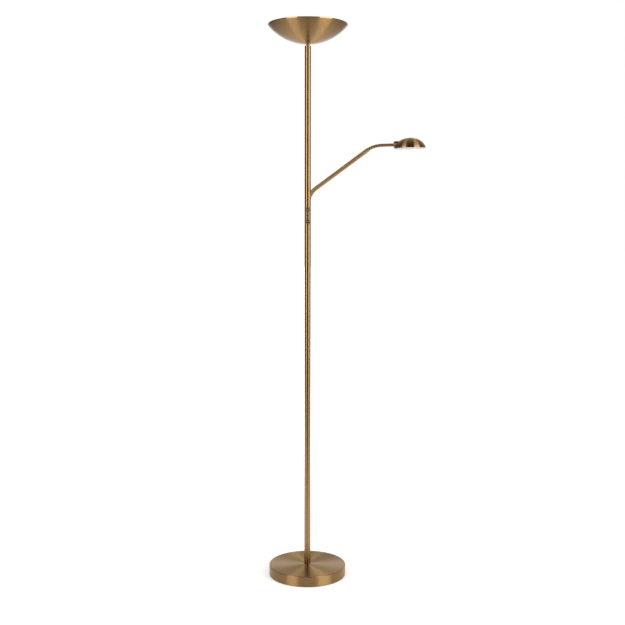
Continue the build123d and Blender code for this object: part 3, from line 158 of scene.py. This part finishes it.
# ---------------------------------------------------------------- grained finishes of the other nodes
# Blotches of a size go from the shade to the light colour and from the first roughness to the second.
GRAIN_DEPTH = 0.00002       # where a finish names no depth of its own
METAL_DEPTH = 0.00001
FINISHES = {
    "brass_collar": {
        "light": BRASS,
        "shade": BRASS_SHADE,
        "roughness": (0.28, 0.36),
        "size": 0.004,
        "depth": METAL_DEPTH,
        "Metallic": 1.0,
        "nodes": ("dimmer_collars",),
    },
    # The gooseneck's brass, darkened with painted shade of its fine ribs.
    "brass_gooseneck": {
        "light": NECK_BRASS_PAINTED_SHADE,
        "shade": NECK_BRASS_PAINTED_SHADE_DARK,
        "roughness": (0.30, 0.38),
        "size": 0.004,
        "depth": 0.000002,
        "Metallic": 1.0,
        "nodes": tuple(f"neck_link_{number}" for number in range(1, NECK_LINKS + 1)),
    },
    "zinc": {
        "light": (0.60, 0.60, 0.58),
        "shade": (0.42, 0.42, 0.41),
        "roughness": (0.30, 0.45),
        "size": 0.004,
        "depth": METAL_DEPTH,
        "Metallic": 1.0,
        "nodes": (
            "plate_screws", "base_nipple", "base_nut", "pole_foot_insert", "pole_coupling",
            "pole_top_insert", "dimmer_nuts", "head_screws", "uplight_nipple", "bowl_nut",
            "uplight_screws", "arm_socket",
        ),
    },
    "shaft": {
        "light": (0.72, 0.72, 0.73),
        "shade": (0.60, 0.60, 0.60),
        "roughness": (0.25, 0.35),
        "size": 0.002,
        "depth": METAL_DEPTH,
        "Metallic": 1.0,
        "nodes": ("reading_knob_shaft", "uplight_knob_shaft"),
    },
    "cast_aluminium": {
        "light": (0.62, 0.62, 0.63),
        "shade": (0.50, 0.50, 0.50),
        "roughness": (0.40, 0.55),
        "size": 0.002,
        "depth": 0.00004,
        "Metallic": 1.0,
        "nodes": ("head_heat_sink", "uplight_heat_sink"),
    },
    "cast_iron": {
        "light": (0.09, 0.09, 0.095),
        "shade": (0.05, 0.05, 0.052),
        "roughness": (0.60, 0.80),
        "size": 0.002,
        "depth": 0.0002,
        "Metallic": 1.0,
        "nodes": ("base_weight",),
    },
    "black_paint": {
        "light": (0.03, 0.03, 0.03),
        "shade": (0.02, 0.02, 0.02),
        "roughness": (0.40, 0.55),
        "size": 0.001,
        "nodes": ("bottom_plate",),
    },
    "felt": {
        "light": (0.035, 0.035, 0.036),
        "shade": (0.012, 0.012, 0.013),
        "roughness": (0.85, 0.95),
        "size": 0.0008,
        "depth": 0.0003,
        "Sheen_Weight": 0.3,
        "nodes": ("floor_pad",),
    },
    "bush_rubber": {
        "light": (0.03, 0.03, 0.03),
        "shade": (0.018, 0.018, 0.018),
        "roughness": (0.55, 0.70),
        "size": 0.001,
        "nodes": ("inlet_bush",),
    },
    "driver_case": {
        "light": (0.75, 0.75, 0.72),
        "shade": (0.68, 0.68, 0.65),
        "roughness": (0.40, 0.55),
        "size": 0.002,
        "nodes": ("led_driver",),
    },
    "terminal": {
        "light": (0.72, 0.71, 0.66),
        "shade": (0.62, 0.61, 0.56),
        "roughness": (0.30, 0.45),
        "size": 0.002,
        "nodes": ("terminal_block",),
    },
    "dimmer_case": {
        "light": (0.04, 0.04, 0.045),
        "shade": (0.02, 0.02, 0.022),
        "roughness": (0.40, 0.50),
        "size": 0.001,
        "nodes": ("dimmers",),
    },
    "wire_sleeve": {
        "light": (0.66, 0.65, 0.60),
        "shade": (0.56, 0.55, 0.50),
        "roughness": (0.35, 0.50),
        "size": 0.003,
        "nodes": ("mains_link_wire", "supply_wire", "uplight_wire", "reading_wire", "head_wire"),
    },
    "green_board": {
        "light": (0.03, 0.14, 0.05),
        "shade": (0.02, 0.09, 0.03),
        "roughness": (0.25, 0.40),
        "size": 0.002,
        "nodes": ("dimmer_board",),
    },
    "light_board": {
        "light": (0.82, 0.82, 0.78),
        "shade": (0.76, 0.76, 0.72),
        "roughness": (0.30, 0.45),
        "size": 0.002,
        "nodes": ("head_led_board", "uplight_led_board"),
    },
    "white_paint": {
        "light": (0.82, 0.82, 0.80),
        "shade": (0.76, 0.76, 0.74),
        "roughness": (0.45, 0.60),
        "size": 0.002,
        "nodes": ("uplight_reflector",),
    },
    "opal": {
        "light": (0.86, 0.855, 0.83),
        "shade": (0.835, 0.83, 0.80),
        "roughness": (0.35, 0.50),
        "size": 0.0015,
        "depth": 0.00001,
        "nodes": ("head_diffuser", "uplight_diffuser"),
    },
    "white_trim": {
        "light": (0.80, 0.80, 0.78),
        "shade": (0.74, 0.74, 0.72),
        "roughness": (0.25, 0.35),
        "size": 0.004,
        "nodes": ("head_ring", "uplight_diffuser_ring"),
    },
}

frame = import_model()
nodes = frame["nodes"]


# ---------------------------------------------------------------- node helpers
class Graph:
    """Node tree of one material, with short calls for the nodes used here."""

    def __init__(self, name):
        self.material = bpy.data.materials.new(name)
        self.material.use_nodes = True
        self.tree = self.material.node_tree
        self.tree.nodes.clear()
        self.output = self.add("ShaderNodeOutputMaterial")
        self.shader = self.add("ShaderNodeBsdfPrincipled")
        self.link(self.shader, "BSDF", self.output, "Surface")

    def add(self, kind, **settings):
        node = self.tree.nodes.new(kind)
        for key, value in settings.items():
            setattr(node, key, value)
        return node

    def link(self, source, source_socket, target, target_socket):
        self.tree.links.new(source.outputs[source_socket], target.inputs[target_socket])

    def set(self, **values):
        for key, value in values.items():
            self.shader.inputs[key.replace("_", " ")].default_value = value

    def place(self, centre=(0, 0, 0)):
        """Place on the object, measured from a centre."""
        coordinates = self.add("ShaderNodeTexCoord")
        shift = self.add("ShaderNodeVectorMath", operation="SUBTRACT")
        shift.inputs[1].default_value = centre
        self.link(coordinates, "Object", shift, 0)
        return shift

    def math(self, operation, first, second=None):
        node = self.add("ShaderNodeMath", operation=operation)
        for index, value in enumerate((first, second)):
            if value is None:
                continue
            if isinstance(value, (int, float)):
                node.inputs[index].default_value = value
            else:
                self.tree.links.new(value, node.inputs[index])
        return node.outputs[0]

    def turned_lines(self, centre, axis, spacing):
        """Noise that runs in rings about an axis, as a lathe or a buff leaves it."""
        split = self.add("ShaderNodeSeparateXYZ")
        self.link(self.place(centre), 0, split, 0)
        along = split.outputs["XYZ".index(axis)]
        across = [split.outputs[i] for i in range(3) if "XYZ"[i] != axis]
        squares = [self.math("MULTIPLY", value, value) for value in across]
        radius = self.math("SQRT", self.math("ADD", *squares))
        join = self.add("ShaderNodeCombineXYZ")
        drift = [self.math("MULTIPLY", value, RING_DRIFT) for value in across]
        for index, value in enumerate((radius, along)):
            scaled = self.math("MULTIPLY", value, 1.0 / spacing)
            self.tree.links.new(self.math("ADD", scaled, drift[index]), join.inputs[index])
        return self.noise(join, 1.0, LINE_DETAIL)

    def stretched_lines(self, direction, spacing):
        """Noise in rings round a tube that runs in a direction."""
        along = self.add("ShaderNodeVectorMath", operation="DOT_PRODUCT")
        self.link(self.place(), 0, along, 0)
        along.inputs[1].default_value = direction
        join = self.add("ShaderNodeCombineXYZ")
        self.tree.links.new(self.math("DIVIDE", along.outputs["Value"], spacing), join.inputs[0])
        return self.noise(join, 1.0, LINE_DETAIL)

    def cloud(self, size):
        """Soft blotches of a size."""
        return self.noise(self.place(), 1 / size, CLOUD_DETAIL)

    def noise(self, source, scale, detail):
        noise = self.add("ShaderNodeTexNoise")
        noise.inputs["Scale"].default_value = scale
        noise.inputs["Detail"].default_value = detail
        self.link(source, 0, noise, "Vector")
        return noise

    def spread(self, value, given, wanted):
        """Maps a socket's range smoothly to another."""
        node = self.add("ShaderNodeMapRange", interpolation_type="SMOOTHSTEP")
        node.inputs["From Min"].default_value, node.inputs["From Max"].default_value = given
        node.inputs["To Min"].default_value, node.inputs["To Max"].default_value = wanted
        self.tree.links.new(value, node.inputs["Value"])
        return node.outputs["Result"]

    def mix_colours(self, noise, low, high):
        """Colour between two, by a noise's middle range."""
        node = self.add("ShaderNodeValToRGB")
        first, last = node.color_ramp.elements
        first.position = NOISE_LOW
        first.color = (*low, 1)
        last.position = NOISE_HIGH
        last.color = (*high, 1)
        self.link(noise, "Fac", node, "Fac")
        self.link(node, "Color", self.shader, "Base Color")

    def mix_numbers(self, noise, low, high):
        """Number between two, by a noise's middle range."""
        node = self.add("ShaderNodeMapRange")
        node.inputs["From Min"].default_value = NOISE_LOW
        node.inputs["From Max"].default_value = NOISE_HIGH
        node.inputs["To Min"].default_value = low
        node.inputs["To Max"].default_value = high
        self.link(noise, "Fac", node, "Value")
        return node.outputs["Result"]

    def roughen(self, value):
        self.tree.links.new(value, self.shader.inputs["Roughness"])

    def bump(self, noise, depth):
        """Bump of a real depth from a noise."""
        bump = self.add("ShaderNodeBump")
        bump.inputs["Strength"].default_value = 1.0
        bump.inputs["Distance"].default_value = depth
        self.link(noise, "Fac", bump, "Height")
        self.link(bump, "Normal", self.shader, "Normal")


# ---------------------------------------------------------------- materials
def brass(name, centre=(0, 0, 0), axis="Z", roughness=SATIN, spacing=BRUSH_SPACING, polished_above=None):
    """Satin brass, brushed in rings about an axis, which spread its shine across them.

    Above a height, where one is given, the edge is polished.
    """
    graph = Graph(name)
    lines = graph.turned_lines(centre, axis, spacing)
    graph.mix_colours(graph.cloud(PATINA_SIZE), BRASS_SHADE, BRASS)
    satin = graph.mix_numbers(lines, *roughness)
    if polished_above is not None:
        height = graph.add("ShaderNodeSeparateXYZ")
        graph.link(graph.place(), 0, height, 0)
        edge = (polished_above - POLISH_BLEND, polished_above)
        satin = graph.math("MULTIPLY", satin, graph.spread(height.outputs["Z"], edge, (1, POLISH)))
    graph.roughen(satin)
    graph.bump(lines, LINE_DEPTH)
    graph.set(Metallic=1.0, Anisotropic=BRUSH_SPREAD, Anisotropic_Rotation=QUARTER_TURN)
    tangent = graph.add("ShaderNodeTangent", direction_type="RADIAL", axis=axis)
    graph.link(tangent, "Tangent", graph.shader, "Tangent")
    return graph.material


def brass_tube(name, slope):
    """Brass tube in the plane of the arm, buffed round, which spreads its shine a little along it."""
    graph = Graph(name)
    direction = (math.cos(slope), 0.0, math.sin(slope))
    lines = graph.stretched_lines(direction, BRUSH_SPACING)
    # Patina blotches from the brass to a lighter brass, whose lift is painted light along the arm.
    graph.mix_colours(graph.cloud(PATINA_SIZE), BRASS, ARM_BRASS_PAINTED_LIGHT)
    graph.roughen(graph.mix_numbers(lines, *ARM_SATIN))
    graph.bump(lines, LINE_DEPTH)
    graph.set(Metallic=1.0, Anisotropic=ARM_SPREAD)
    along = graph.add("ShaderNodeCombineXYZ")
    for socket, value in zip(along.inputs, direction):
        socket.default_value = value
    turned = graph.add(
        "ShaderNodeVectorTransform", vector_type="VECTOR", convert_from="OBJECT", convert_to="WORLD",
    )
    graph.link(along, "Vector", turned, "Vector")
    graph.link(turned, "Vector", graph.shader, "Tangent")
    return graph.material


def grained(name, light, shade, roughness, size, depth=GRAIN_DEPTH, **settings):
    """Metal, plastic, rubber, paint or board with fine blotches and grain."""
    graph = Graph(name)
    grain = graph.cloud(size)
    graph.mix_colours(grain, shade, light)
    graph.roughen(graph.mix_numbers(grain, *roughness))
    graph.bump(grain, depth)
    graph.set(**settings)
    return graph.material


def middle(node):
    """Centre of a node's box."""
    low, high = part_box(node)
    return [(a + b) / 2 for a, b in zip(low, high)]


def dress(material, *names):
    """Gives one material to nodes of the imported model."""
    for name in names:
        slots = nodes[name].data.materials
        slots.clear()
        slots.append(material)


def dress_brass():
    """Brushed brass of the base, pole, bowl, arm, head and knobs."""
    pole = brass("brass_pole", roughness=POLE_SATIN, spacing=POLE_SPACING)
    bowl = brass("brass_bowl", polished_above=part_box("uplight_bowl")[1][2] - RIM_BAND)
    dress(brass("brass_base"), "base_shell")
    dress(pole, "pole_lower", "pole_middle", "pole_upper", "neck_spacer")
    dress(brass("brass_control"), "control_housing")
    dress(bowl, "uplight_bowl")
    dress(brass("brass_shade", middle("head_shade"), roughness=DOME_SATIN), "head_shade")
    dress(brass("brass_head_neck", middle("head_neck"), "X"), "head_neck")
    dress(brass_tube("brass_arm", ARM_SLOPE), "arm_tube", "arm_ferrule")
    for knob in ("reading_knob", "uplight_knob"):
        dress(brass("brass_" + knob, middle(knob), "Y", spacing=KNOB_SPACING), knob)


def dress_rest():
    """Grained finishes of all other nodes."""
    for name, finish in FINISHES.items():
        values = {key: value for key, value in finish.items() if key != "nodes"}
        dress(grained(name, **values), *finish["nodes"])


# ---------------------------------------------------------------- gooseneck
def curve(start, leave, end, arrive):
    """Smooth way from start to end, as a function of the share covered.

    The function gives a point and a direction.
    """
    length = (end - start).length
    first = leave * length
    last = arrive * length

    def at(share):
        left = 1 - share
        point = left * left * (1 + 2 * share) * start + share * left * left * first
        point += share * share * (3 - 2 * share) * end - share * share * left * last
        direction = 6 * share * left * (end - start)
        direction += left * (1 - 3 * share) * first + share * (3 * share - 2) * last
        return point, direction.normalized()

    return at


def ball_rings(centre, way, radius, first, last):
    """Rings on a ball between two distances past its centre."""
    rings = []
    for step in range(BALL_STEPS + 1):
        along = first + (last - first) * step / BALL_STEPS
        rings.append((centre + along * way, way, math.sqrt(radius ** 2 - along ** 2)))
    return rings


def neck_rings(path, length, ribs, ball, socket):
    """Place, direction and radius of each ring of points round a length of the neck.

    They run out over its ribs and the ball at its far end, and back through its bore and, where
    asked, the socket at its near end.
    """
    first, last = ribs
    radius, reach = ball
    steps = max(LEAST_STEPS, round((last - first) / RIB_PITCH * RIB_RINGS))
    rings = []
    for step in range(steps + 1):
        along = first + (last - first) * step / steps
        swell = abs(math.sin(math.pi * (length - along) / RIB_PITCH))
        rings.append((*path(along / length), NECK_RADIUS - RIB_DEPTH * (1 - swell)))
    centre, way = path(1)
    rings += ball_rings(centre, way, radius, last - length, reach)
    rings.append((centre + reach * way, way, NECK_BORE))
    near = SOCKET_DEPTH if socket else first
    for step in range(BORE_STEPS + 1):
        along = length + (near - length) * step / BORE_STEPS
        rings.append((*path(along / length), NECK_BORE))
    if socket:
        centre, way = path(0)
        rings += ball_rings(centre, way, BALL_RADIUS + SOCKET_CLEARANCE, near, first)
    return rings


def turned_piece(name, rings):
    """Closed piece through rings of points, the last of which joins the first."""
    side = Vector((0, 1, 0))
    points = []
    for place, way, radius in rings:
        up = side.cross(way)
        for step in range(ROUND_POINTS):
            angle = 2 * math.pi * step / ROUND_POINTS
            points.append(place + radius * (math.cos(angle) * up + math.sin(angle) * side))
    faces = []
    for ring in range(len(rings)):
        here = ring * ROUND_POINTS
        there = (ring + 1) % len(rings) * ROUND_POINTS
        for step in range(ROUND_POINTS):
            beside = (step + 1) % ROUND_POINTS
            faces.append((here + step, here + beside, there + beside, there + step))
    mesh = bpy.data.meshes.new(name)
    mesh.from_pydata(points, [], faces)
    work = bmesh.new()
    work.from_mesh(mesh)
    bmesh.ops.recalc_face_normals(work, faces=work.faces)
    work.to_mesh(mesh)
    work.free()
    mesh.shade_smooth()
    mesh.set_sharp_from_angle(angle=CREASE)
    piece = bpy.data.objects.new(name, mesh)
    bpy.context.collection.objects.link(piece)
    return piece


def gooseneck():
    """Finely ribbed links of the gooseneck, each seated on the ball of the one before.

    They have the finish of the plainer links that they replace, whose brass is darkened with painted
    shade.
    """
    material = nodes["neck_link_1"].data.materials[0]
    joints = [joint for joint in frame["joints"] if joint["name"].startswith("neck_")]
    centres = [Vector(joint["pos_m"]) for joint in joints]
    foot = Vector((math.cos(ARM_SLOPE), 0, math.sin(ARM_SLOPE)))
    tip = Vector((math.cos(NECK_SLOPE), 0, math.sin(NECK_SLOPE)))
    spans = [(second - first).normalized() for first, second in zip(centres, centres[1:])]
    ways = [(before + after).normalized() for before, after in zip([foot, *spans], [*spans, tip])]
    places = [centres[0] - FERRULE_FACE * foot, *centres]
    leaves = [foot, *ways]
    for number, joint in enumerate(joints):
        length = (places[number + 1] - places[number]).length
        path = curve(places[number], leaves[number], places[number + 1], leaves[number + 1])
        near = 0 if number == 0 else JOINT_GAP
        ribs = (near, length - JOINT_GAP)
        ball = (BALL_RADIUS, BALL_REACH)
        if number == NECK_LINKS:
            ribs = (near, length - HEAD_GAP)
            ball = (HEAD_BALL_RADIUS, HEAD_BALL_REACH)
        name = f"neck_rings_{number}" if number else "neck_collar"
        piece = turned_piece(name, neck_rings(path, length, ribs, ball, number > 0))
        piece.data.materials.append(material)
        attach(piece, joint["parent"])
        if number > 0:
            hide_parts(f"neck_link_{number}")


# ---------------------------------------------------------------- stage
def seen(tree):
    """1 for camera, glossy and transmission rays, from Light Path."""
    path = tree.nodes.new("ShaderNodeLightPath")
    total = path.outputs["Is Camera Ray"]
    for name in ("Is Glossy Ray", "Is Transmission Ray"):
        add = tree.nodes.new("ShaderNodeMath")
        add.operation = "MAXIMUM"
        tree.links.new(total, add.inputs[0])
        tree.links.new(path.outputs[name], add.inputs[1])
        total = add.outputs[0]
    return total


def floor():
    """Pale floor that reads as white but keeps the lamp's shadow."""
    mesh = bpy.data.meshes.new("floor")
    half = FLOOR_SIZE / 2
    corners = [(-half, -half, 0), (half, -half, 0), (half, half, 0), (-half, half, 0)]
    mesh.from_pydata(corners, [], [(0, 1, 2, 3)])
    plane = bpy.data.objects.new("floor", mesh)
    bpy.context.collection.objects.link(plane)
    graph = Graph("floor")
    graph.set(Roughness=PAPER_ROUGHNESS, Emission_Color=(1, 1, 1, 1))
    place = graph.place()
    depth = graph.add("ShaderNodeSeparateXYZ")
    graph.link(place, 0, depth, 0)
    front = graph.spread(depth.outputs["Y"], PAPER_FRONT, (0, 1))
    side = graph.spread(graph.math("ABSOLUTE", depth.outputs["X"]), PAPER_SIDE, (1, 0))
    paper = graph.math("MULTIPLY", front, side)
    path = graph.add("ShaderNodeLightPath")
    shown = graph.math("MAXIMUM", paper, path.outputs["Is Camera Ray"])
    # Paper where it lies and for the camera, painted shade of the unlit studio floor elsewhere.
    colour = graph.add("ShaderNodeMix", data_type="RGBA")
    colour.inputs["A"].default_value = (*UNLIT_FLOOR_PAINTED_SHADE, 1)
    colour.inputs["B"].default_value = (*PAPER_COLOUR, 1)
    graph.tree.links.new(shown, colour.inputs["Factor"])
    graph.link(colour, "Result", graph.shader, "Base Color")
    distance = graph.add("ShaderNodeVectorMath", operation="LENGTH")
    graph.link(place, 0, distance, 0)
    lift = graph.spread(distance.outputs["Value"], (NEAR_RADIUS, FAR_RADIUS), (FLOOR_LIFT, FAR_LIFT))
    lift = graph.math("MULTIPLY", lift, graph.math("MULTIPLY", shown, seen(graph.tree)))
    graph.tree.links.new(lift, graph.shader.inputs["Emission Strength"])
    mesh.materials.append(graph.material)


def world():
    """White backdrop behind the lamp and an unlit studio in front of it, as metal shows them."""
    room = bpy.data.worlds.new("studio")
    bpy.context.scene.world = room
    room.use_nodes = True
    tree = room.node_tree
    tree.nodes.clear()
    output = tree.nodes.new("ShaderNodeOutputWorld")
    background = tree.nodes.new("ShaderNodeBackground")
    background.inputs["Color"].default_value = (1, 1, 1, 1)
    tree.links.new(background.outputs[0], output.inputs["Surface"])
    direction = tree.nodes.new("ShaderNodeTexCoord")
    split = tree.nodes.new("ShaderNodeSeparateXYZ")
    tree.links.new(direction.outputs["Generated"], split.inputs[0])
    azimuth = tree.nodes.new("ShaderNodeMath")
    azimuth.operation = "ARCTAN2"
    tree.links.new(split.outputs["X"], azimuth.inputs[0])
    tree.links.new(split.outputs["Y"], azimuth.inputs[1])
    turn = tree.nodes.new("ShaderNodeMapRange")
    turn.inputs["From Min"].default_value = -math.pi
    turn.inputs["From Max"].default_value = math.pi
    tree.links.new(azimuth.outputs[0], turn.inputs["Value"])
    studio = tree.nodes.new("ShaderNodeValToRGB")
    stops = studio.color_ramp.elements
    while len(stops) < len(STUDIO_LEVELS):
        stops.new(NEW_STOP)
    for stop, (position, level) in zip(stops, STUDIO_LEVELS):
        stop.position = position
        stop.color = (level, level, level, 1)
    tree.links.new(turn.outputs["Result"], studio.inputs["Fac"])
    shiny = tree.nodes.new("ShaderNodeMix")
    shiny.inputs["A"].default_value = ROOM_LEVEL
    tree.links.new(seen(tree), shiny.inputs["Factor"])
    tree.links.new(studio.outputs["Color"], shiny.inputs["B"])
    plain = tree.nodes.new("ShaderNodeMix")
    plain.inputs["B"].default_value = BACKDROP_LEVEL
    path = tree.nodes.new("ShaderNodeLightPath")
    tree.links.new(path.outputs["Is Camera Ray"], plain.inputs["Factor"])
    tree.links.new(shiny.outputs["Result"], plain.inputs["A"])
    tree.links.new(plain.outputs["Result"], background.inputs["Strength"])


def softbox(name, azimuth, width, level):
    """Tall soft lamp that stands at an azimuth from the front and faces the pole."""
    light = bpy.data.lights.new(name, "AREA")
    light.shape = "RECTANGLE"
    light.size = width
    light.size_y = SOFTBOX_TALL
    light.energy = level * math.pi * width * SOFTBOX_TALL
    lamp = bpy.data.objects.new(name, light)
    angle = math.radians(azimuth)
    side = SOFTBOX_DISTANCE * math.sin(angle)
    front = -SOFTBOX_DISTANCE * math.cos(angle)
    lamp.location = (side, front, SOFTBOX_HEIGHT)
    lamp.rotation_euler = (math.pi / 2, 0, angle)
    bpy.context.collection.objects.link(lamp)


def camera():
    """Camera at the photograph's place."""
    data = bpy.data.cameras.new("camera")
    data.sensor_width = SENSOR_WIDTH
    data.lens = FOCAL_PIXELS / PHOTO_PIXELS * SENSOR_WIDTH
    eye = bpy.data.objects.new("camera", data)
    eye.location = CAMERA_PLACE
    aim = Matrix.Rotation(math.pi / 2 - CAMERA_PITCH, 3, "X") @ Matrix.Rotation(CAMERA_ROLL, 3, "Z")
    eye.rotation_euler = aim.to_euler()
    bpy.context.collection.objects.link(eye)
    bpy.context.scene.camera = eye


dress_brass()
dress_rest()
gooseneck()
floor()
world()
softbox("left_softbox", **LEFT_SOFTBOX)
softbox("right_softbox", **RIGHT_SOFTBOX)
camera()
bpy.context.scene.view_settings.view_transform = "Standard"
